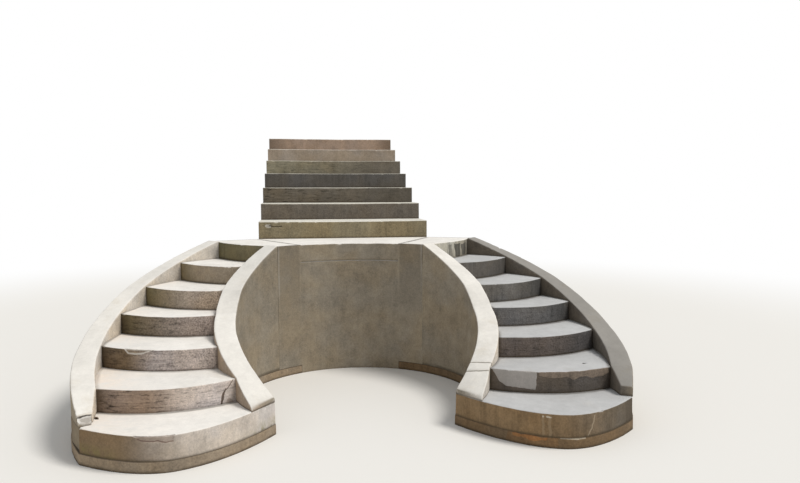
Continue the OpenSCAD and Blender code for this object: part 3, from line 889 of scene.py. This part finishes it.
# What marks single pieces, in the order of its making
FEATURES = {
    "left_step_1": [
        Patch("spall", (164, 147, 135), -0.0035, [
            (0.545, 0.16), (0.555, 0.112), (0.6, 0.106), (0.64, 0.122), (0.67, 0.116), (0.705, 0.13),
            (0.715, 0.16)], 0.55, 0.008),
        Crack("spall_edge", (104, 80, 68), (0.555, 0.108), (0.705, 0.126), 0.006, 0.001, 0.009, 0.75),
        Patch("hole", (72, 56, 46), -0.012, [
            (0.872, 0.418), (0.886, 0.408), (0.899, 0.425), (0.896, 0.452), (0.88, 0.456)], 0.9, 0.006)],
    # The dark gash, crack and stain at the bed-side end are painted leaf shadow, drawn as a chipped
    # corner with a pale flake
    "left_step_2": [
        Patch("flake", (198, 187, 178), 0.002, [
            (-0.01, -0.01), (0.126, -0.01), (0.114, 0.06), (0.092, 0.098), (0.066, 0.112),
            (-0.01, 0.116)], 0.6, 0.006),
        Patch("gash", (92, 76, 64), -0.004, [
            (0.137, -0.01), (0.116, -0.01), (0.106, 0.03), (0.102, 0.06), (0.083, 0.098), (0.09, 0.104),
            (0.119, 0.062), (0.126, 0.03)], 0.9, 0.006),
        Patch("stain", (150, 130, 114), 0.0, [
            (0.096, -0.01), (0.084, 0.03), (0.066, 0.04), (0.05, 0.026), (0.02, -0.01)], 0.5, 0.01),
        Crack("corner_crack", (96, 80, 68), (0.092, 0.094), (0.03, 0.158), 0.006, 0.003, 0.012, 0.8)],
    "left_step_3": [
        Patch("scar", (158, 144, 126), -0.0045, [
            (0.5, 0.162), (0.53, 0.146), (0.58, 0.126), (0.66, 0.114), (0.72, 0.12), (0.745, 0.14),
            (0.75, 0.162)], 0.5, rim=(214, 207, 197))],
    "right_step_1": [
        Crack("streak_a", (168, 148, 120), (0.45, 0.122), (0.455, 0.002), 0.013, 0.0, 0.006, 0.4),
        Crack("streak_b", (168, 148, 120), (0.48, 0.122), (0.485, 0.004), 0.016, 0.0, 0.007, 0.35),
        Crack("crack", (172, 156, 134), (0.691, 0.134), (0.654, -0.002), 0.009, 0.002, 0.01, 0.65),
        Patch("chip_a", (204, 192, 174), -0.003, [
            (0.447, 0.136), (0.449, 0.122), (0.456, 0.118), (0.459, 0.134)], 0.85, 0.004),
        Patch("chip_b", (204, 192, 174), -0.003, [
            (0.466, 0.134), (0.469, 0.126), (0.488, 0.12), (0.49, 0.13)], 0.85, 0.004)],
    "right_step_2": [
        Patch("mend", (180, 174, 168), 0.003, [
            (0.03, 0.16), (0.055, 0.105), (0.085, 0.062), (0.135, 0.04), (0.25, 0.034), (0.358, 0.02),
            (0.372, 0.12), (0.362, 0.16)], 0.9, 0.008, even=0.6),
        Patch("worn_band", (148, 132, 116), 0.002, [
            (0.37, 0.16), (0.378, 0.116), (0.46, 0.104), (0.55, 0.112), (0.66, 0.098), (0.76, 0.104),
            (0.88, 0.09), (0.965, 0.118), (0.97, 0.16)], 0.7, 0.012),
        Patch("hole", (52, 46, 42), -0.01, [
            (0.733, 0.345), (0.745, 0.33), (0.77, 0.332), (0.78, 0.348), (0.762, 0.362), (0.742, 0.36)],
            0.95, 0.006)],
    "right_step_7": [
        Patch("drip_1", (118, 113, 103), 0.0, [
            (0.405, 0.124), (0.465, 0.13), (0.46, 0.012), (0.41, 0.01)], 0.7, 0.014),
        Patch("drip_2", (80, 78, 72), 0.0, [
            (0.515, 0.122), (0.635, 0.132), (0.64, 0.006), (0.522, 0.008)], 0.85, 0.014),
        Patch("drip_3", (86, 83, 77), 0.0, [
            (0.66, 0.108), (0.795, 0.128), (0.785, 0.02), (0.665, 0.006)], 0.85, 0.016),
        Patch("drip_4", (116, 110, 96), 0.0, [
            (0.96, 0.15), (0.998, 0.15), (0.998, 0.006), (0.97, 0.012)], 0.5, 0.01)],
    "left_outer_toe": [
        Patch("mortar", (190, 185, 178), -0.007, [
            (-0.1, -0.01), (0.205, -0.01), (0.15, 0.3), (-0.1, 0.3)], 0.8, 0.012),
        Patch("mortar_spot", (158, 150, 140), -0.003, [
            (0.02, 0.015), (0.14, 0.012), (0.13, 0.075), (0.1, 0.11), (0.02, 0.1)], 0.7, 0.016),
        Crack("crack", (52, 44, 36), (0.205, -0.04), (0.15, 0.2), 0.006, 0.008, 0.006)],
    "right_inner": [
        Crack("groove", (116, 106, 92), (0.0301, -0.03), (0.01205, 0.19), 0.008, 0.004, 0.003, 0.8)],
    "right_inner_toe": [
        Crack("groove", (116, 106, 92), (0.914, -0.03), (0.7, 0.22), 0.008, 0.004, 0.003, 0.8)],
    "right_footing": [
        Patch("rust_wash", (140, 106, 70), 0.0, [
            (0.29, 0.01), (0.44, -0.01), (0.52, 0.02), (0.52, 0.075), (0.3, 0.075)], 0.45, 0.018),
        Patch("rust_stain", (172, 116, 66), 0.0, [
            (0.32, 0.05), (0.4, 0.04), (0.475, 0.046), (0.475, 0.064), (0.315, 0.068)], 0.5, 0.016),
        Patch("joint_chips", (184, 172, 152), -0.003, [
            (0.525, 0.064), (0.64, 0.062), (0.64, 0.08), (0.525, 0.08)], 0.85, 0.006)],
    "upper_step_1": [
        Patch("lip_chip", (214, 208, 196), -0.006, [
            (0.035, 0.125), (0.055, 0.105), (0.07, 0.112), (0.068, 0.14), (0.04, 0.142)], 0.85),
        Crack("crack", (64, 54, 42), (0.06, 0.128), (0.135, 0.122), 0.008, 0.006, 0.008)],
}
for name, features in FEATURES.items():
    LOOKS[name].features = tuple(features)
FINISHES = {name: render_finish(f"{name}_render", look, name != "wall") for name, look in LOOKS.items()}


# The curved flights

def flight_step(side, n):
    """Step n of a flight, from the footing course to its tread."""
    name = f"{side}_step_{n}"
    top = FOOTING_H + n * RISER
    back = nosing(n + 1) - downhill(nosing(n + 1)) * OVERLAP
    s = np.linspace(n, n + 1, 60)
    loops = step_loops(nosing(n), back, inner_at(s, OVERLAP), outer_at(s, OVERLAP),
                       FOOTING_H + SEAT, top - RISER, top, LOOKS[name],
                       cell=NEAR_CELL if n < 4 else CELL)
    piece(name, step_mesh(*loops), FINISHES[name])


def bottom_step(side):
    """The bottom step, whose front runs out past both strings."""
    name = f"{side}_step_1"
    bottom = BOTTOM[side]
    s = np.linspace(1, 2, 60)
    back = across_strings(2)
    back = back - downhill(back) * OVERLAP
    loops = step_loops(bottom_front(bottom), back, inner_at(s, INNER_STRING_T),
                       outer_at(s, OUTER_STRING_T, bottom["corner"]), FOOTING_H, FOOTING_H,
                       FOOTING_H + RISER, LOOKS[name], cell=NEAR_CELL)
    piece(name, step_mesh(*loops), FINISHES[name], FINISHES["bottom_ends"])


def top_step(side):
    """The top step, which closes the strings' ends and reaches the landing."""
    name = f"{side}_step_{RISERS}"
    front = across_strings(RISERS)
    back = np.array([polar(BED_RADIUS, JOINT_DEG), [HALF_W, LANDING_Y]])
    inner = polar(BED_RADIUS, np.linspace(INNER_DEG[-1], JOINT_DEG, 40))
    outer = np.array([outer_at(RISERS, OUTER_STRING_T), [HALF_W, LANDING_Y]])
    reach = lengths(front)[-1]

    def edge(u):
        """Leaves the edge nearly sharp over the ends of the strings."""
        from_ends = np.minimum(u * reach - INNER_STRING_T, reach - OUTER_STRING_T - u * reach)
        return 0.15 + 0.85 * step_up(from_ends, -0.01, 0.02)

    loops = step_loops(front, back, inner, outer, FOOTING_H + SEAT, LANDING_Z - RISER, LANDING_Z,
                       LOOKS[name], edge=edge, wear=0.002)
    piece(name, step_mesh(*loops), FINISHES[name], FINISHES["landing"])


def string_stations(line, cell):
    """Parts of a line's length for its loops, closer together at the ends."""
    reach = lengths(line)[-1]
    parts = np.linspace(0, 1, math.ceil(reach / cell) + 1)
    ends = np.array([0.002, 0.005]) / reach
    return np.unique(np.concatenate([parts, ends, 1 - ends]))


def main_string(side, inner, look):
    """A string from the second nosing to the landing."""
    name = f"{side}_{'inner' if inner else 'outer'}_string"
    s = np.linspace(2, RISERS, 800)
    line = inner_at(s) if inner else outer_at(s)
    at = np.interp(string_stations(line, STRING_STEP), lengths(line) / lengths(line)[-1], s)
    if inner:
        big, small = inner_at(at), inner_at(at, INNER_STRING_T)
    else:
        big, small = outer_at(at, OUTER_STRING_T), outer_at(at)
    run = lengths(big)
    high = FOOTING_H + at * RISER + STRING_RISE - 0.004 * np.exp(-(run[-1] - run) / 0.003)
    loops = string_loops(big, small, FOOTING_H, high, LOOKS[look])
    piece(name, loop_mesh(*loops, 5), FINISHES[look])


def outer_toe(side, look):
    """The low end of an outside string, on the corner of the bottom step."""
    name = f"{side}_outer_toe"
    bottom = BOTTOM[side]
    rear = OUTER_RADIUS + OUTER_STRING_T
    start = bottom["corner"] + math.degrees(TOE_SETBACK / rear)
    t = string_stations(polar(rear, np.linspace(start, OUTER_DEG[0], 200)), TOE_CELL)
    turn = start + (OUTER_DEG[0] - start) * t
    big = polar(rear, turn)
    small = polar(OUTER_RADIUS + OUTER_TOE_TAPER * (1 - t), turn)
    high = TOE_LOW + bottom["toe_h"] + (TOE_TOP - TOE_LOW - bottom["toe_h"]) * t
    high = high - 0.005 * np.exp(-lengths(big) / 0.003)
    loops = string_loops(big, small, TOE_LOW - SINK, high, LOOKS[look], TOE_CELL, 0.18)
    piece(name, loop_mesh(*loops, 8), FINISHES[look])


def inner_toe(side, look):
    """The low end of a bed-side string, spread out and trimmed by the bottom step's front."""
    name = f"{side}_inner_toe"
    front = bottom_front(BOTTOM[side], -EDGE_RADIUS)
    s = np.linspace(2, 0.4, 600)
    turn = np.where(s < 1, INNER_DEG[0] - 8 * (1 - s), inner_turn(s))
    flight_side = polar(INNER_RADIUS + INNER_TOE_FLARE * (2 - s), turn)
    gap = np.linalg.norm(flight_side[:, None] - front[None, :300], axis=-1)
    meet, met = np.unravel_index(np.argmin(gap), gap.shape)
    flight_side = flight_side[:meet + 1]
    bed_side = polar(BED_RADIUS, np.linspace(INNER_DEG[1], INNER_DEG[0], 200))
    bed_side = np.concatenate([bed_side, front[:1]])
    t = string_stations(flight_side, TOE_CELL)
    big, small = along_line(flight_side, t)[::-1], along_line(bed_side, t)[::-1]
    low_end = TOE_LOW + INNER_TOE_H + 0.010
    high = low_end + (TOE_TOP - low_end) * (1 - t)[::-1]
    high = high - 0.018 * np.exp(-lengths(big) / 0.020)
    loops, marks = string_loops(big, small, TOE_LOW - SINK, high, LOOKS[look], TOE_CELL, 0.18)

    # Bends the low end to the bowed front of the step
    edge = front[:met + 1]
    chord = small[0] - big[0]
    along = (edge - big[0]) @ chord / (chord @ chord)
    bulge = edge - (big[0] + np.outer(along, chord))
    order = np.argsort(along)
    part = ((loops[..., :2] - big[:, None]) * (small - big)[:, None]).sum(-1)
    part /= ((small - big) ** 2).sum(-1)[:, None]
    for k in range(2):
        loops[..., k] += np.interp(part, along[order], bulge[order, k]) * t[::-1, None] ** 3
    piece(name, loop_mesh(loops, marks, 8), FINISHES[look])


def footing(side):
    """The footing course under a flight."""
    name = f"{side}_footing"
    bottom = BOTTOM[side]
    s = np.linspace(1, RISERS, 700)[1:]
    front = bottom_front(bottom, FOOTING_OUT)
    outline = np.concatenate([
        front,
        outer_at(s, OUTER_STRING_T + FOOTING_OUT, bottom["corner"]),
        [[HALF_W, LANDING_Y]],
        polar(BED_RADIUS, np.linspace(JOINT_DEG, INNER_DEG[-1], 60)),
        inner_at(s[::-1][1:], INNER_STRING_T)])
    places = np.arange(0, 1, FOOTING_CELL / lengths(outline)[-1])
    outline = along_line(np.concatenate([outline, outline[:1]]), places)
    ring = wall_ring(outline, 0.0, FOOTING_H, lengths(front)[-1], LOOKS[name])
    piece(name, ring, FINISHES[name])


for side in ("left", "right"):
    footing(side)
    inner_toe(side, "left_inner" if side == "left" else "right_inner_toe")
    outer_toe(side, "left_outer_toe" if side == "left" else "right_outer")
    main_string(side, True, f"{side}_inner")
    main_string(side, False, f"{side}_outer")
    bottom_step(side)
    for n in range(2, RISERS):
        flight_step(side, n)
    top_step(side)


# The landing and the upper flight

def block(name, look, slot, front, back, low, top, **how):
    """A block whose straight sides join its front to its back."""
    inner, outer = np.stack([front[0], back[0]]), np.stack([front[-1], back[-1]])
    loops = step_loops(front, back, inner, outer, low, low, top, LOOKS[look], **how)
    piece(name, step_mesh(*loops), FINISHES[look])


def across(y):
    """The line across the upper flight at y."""
    return np.array([[-HALF_W, y], [HALF_W, y]])


def landing():
    """The landing's slab and the curved wall under it."""
    arc = polar(BED_RADIUS, np.linspace(180 - JOINT_DEG, JOINT_DEG, 200))
    under = LANDING_Z - RISER
    block("landing_slab", "landing", "upper_steps", arc, across(LANDING_Y), under, LANDING_Z,
          cell=LANDING_CELL, wear=0.0)
    block("landing_wall", "landing", "retaining_wall", arc, across(LANDING_Y), 0.0, under,
          cell=LANDING_CELL, wear=0.0, spread=0.0)


def upper_step(n):
    """Block n of the upper flight, which carries the front of the next one."""
    name = f"upper_step_{n}"
    y = LANDING_Y + (n - 1) * UPPER_TREAD_DEPTH
    rear = y + UPPER_TREAD_DEPTH + (0 if n == UPPER_RISERS else BEARING_DEPTH)
    top = LANDING_Z + n * UPPER_RISER
    front = along_line(across(y), np.linspace(0, 1, 200))
    block(name, name, "upper_steps", front, across(rear), top - UPPER_RISER, top,
          cell=UPPER_CELL, spread=0.006)


landing()
for n in range(1, UPPER_RISERS + 1):
    upper_step(n)
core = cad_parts["upper_core"]
core.data.materials.clear()
core.data.materials.append(FINISHES["wall"])


# The floor, the light and the camera

WHITE = (1, 1, 1, 1)


def pale_floor():
    """A pale floor that keeps the stair's shadow and turns white far from it."""
    f = Finish(bpy.data.materials.new("pale_floor"))
    place = f.node("ShaderNodeTexCoord", output="Object")
    far = f.node("ShaderNodeVectorMath", {"operation": "LENGTH"}, {0: place}, "Value").rise(4.5, 10.0)
    seen = f.node("ShaderNodeLightPath", output="Is Camera Ray")
    matt = f.node("ShaderNodeBsdfDiffuse", {}, {"Color": paint(236, 234, 230)})
    white = f.node("ShaderNodeEmission", {}, {"Color": WHITE, "Strength": 1.0})
    f.end(f.node("ShaderNodeMixShader", {}, {0: far * seen, 1: matt, 2: white}))
    half = 60.0
    corners = [(-half, -half, 0), (half, -half, 0), (half, half, 0), (-half, half, 0)]
    mesh = bpy.data.meshes.new("floor")
    mesh.from_pydata(corners, [], [(0, 1, 2, 3)])
    mesh.materials.append(f.owner)
    floor = bpy.data.objects.new("floor", mesh)
    bpy.context.scene.collection.objects.link(floor)


def soft_sky():
    """Even light from all round, seen as white behind the stair."""
    f = Finish(bpy.data.worlds.new("soft_sky"))
    seen = f.node("ShaderNodeLightPath", output="Is Camera Ray")
    sky = f.node("ShaderNodeBackground", {}, {"Color": (0.95, 0.975, 1.0, 1), "Strength": 0.50})
    white = f.node("ShaderNodeBackground", {}, {"Color": WHITE, "Strength": 1.0})
    f.end(f.node("ShaderNodeMixShader", {}, {0: seen, 1: sky, 2: white}), "ShaderNodeOutputWorld")
    bpy.context.scene.world = f.owner


def lamp(name, strength, colour, elevation, turn, softness):
    """A broad soft lamp far off; turn is its direction round the stair from the front."""
    data = bpy.data.lights.new(name, "SUN")
    data.energy = strength
    data.color = colour
    data.angle = math.radians(softness)
    made = bpy.data.objects.new(name, data)
    made.rotation_euler = (math.radians(90 - elevation), 0, math.radians(turn))
    bpy.context.scene.collection.objects.link(made)


def photo_camera():
    """The camera at the photograph's place, at standing eye height."""
    data = bpy.data.cameras.new("camera")
    data.lens = 30.33
    camera = bpy.data.objects.new("camera", data)
    aside, back, height = -0.4402, 5.1982, 1.6587
    pitch, turn, roll = 4.555, -8.45, -0.10
    camera.matrix_world = (Matrix.Translation((aside, RING_Y - back, height))
                           @ Matrix.Rotation(math.radians(turn), 4, "Z")
                           @ Matrix.Rotation(math.radians(90 - pitch), 4, "X")
                           @ Matrix.Rotation(math.radians(roll), 4, "Z"))
    bpy.context.scene.collection.objects.link(camera)
    bpy.context.scene.camera = camera


pale_floor()
soft_sky()
lamp("key", 2.0, (1.0, 0.97, 0.92), 61, 78, 20)
photo_camera()
bpy.context.scene.view_settings.view_transform = "Standard"
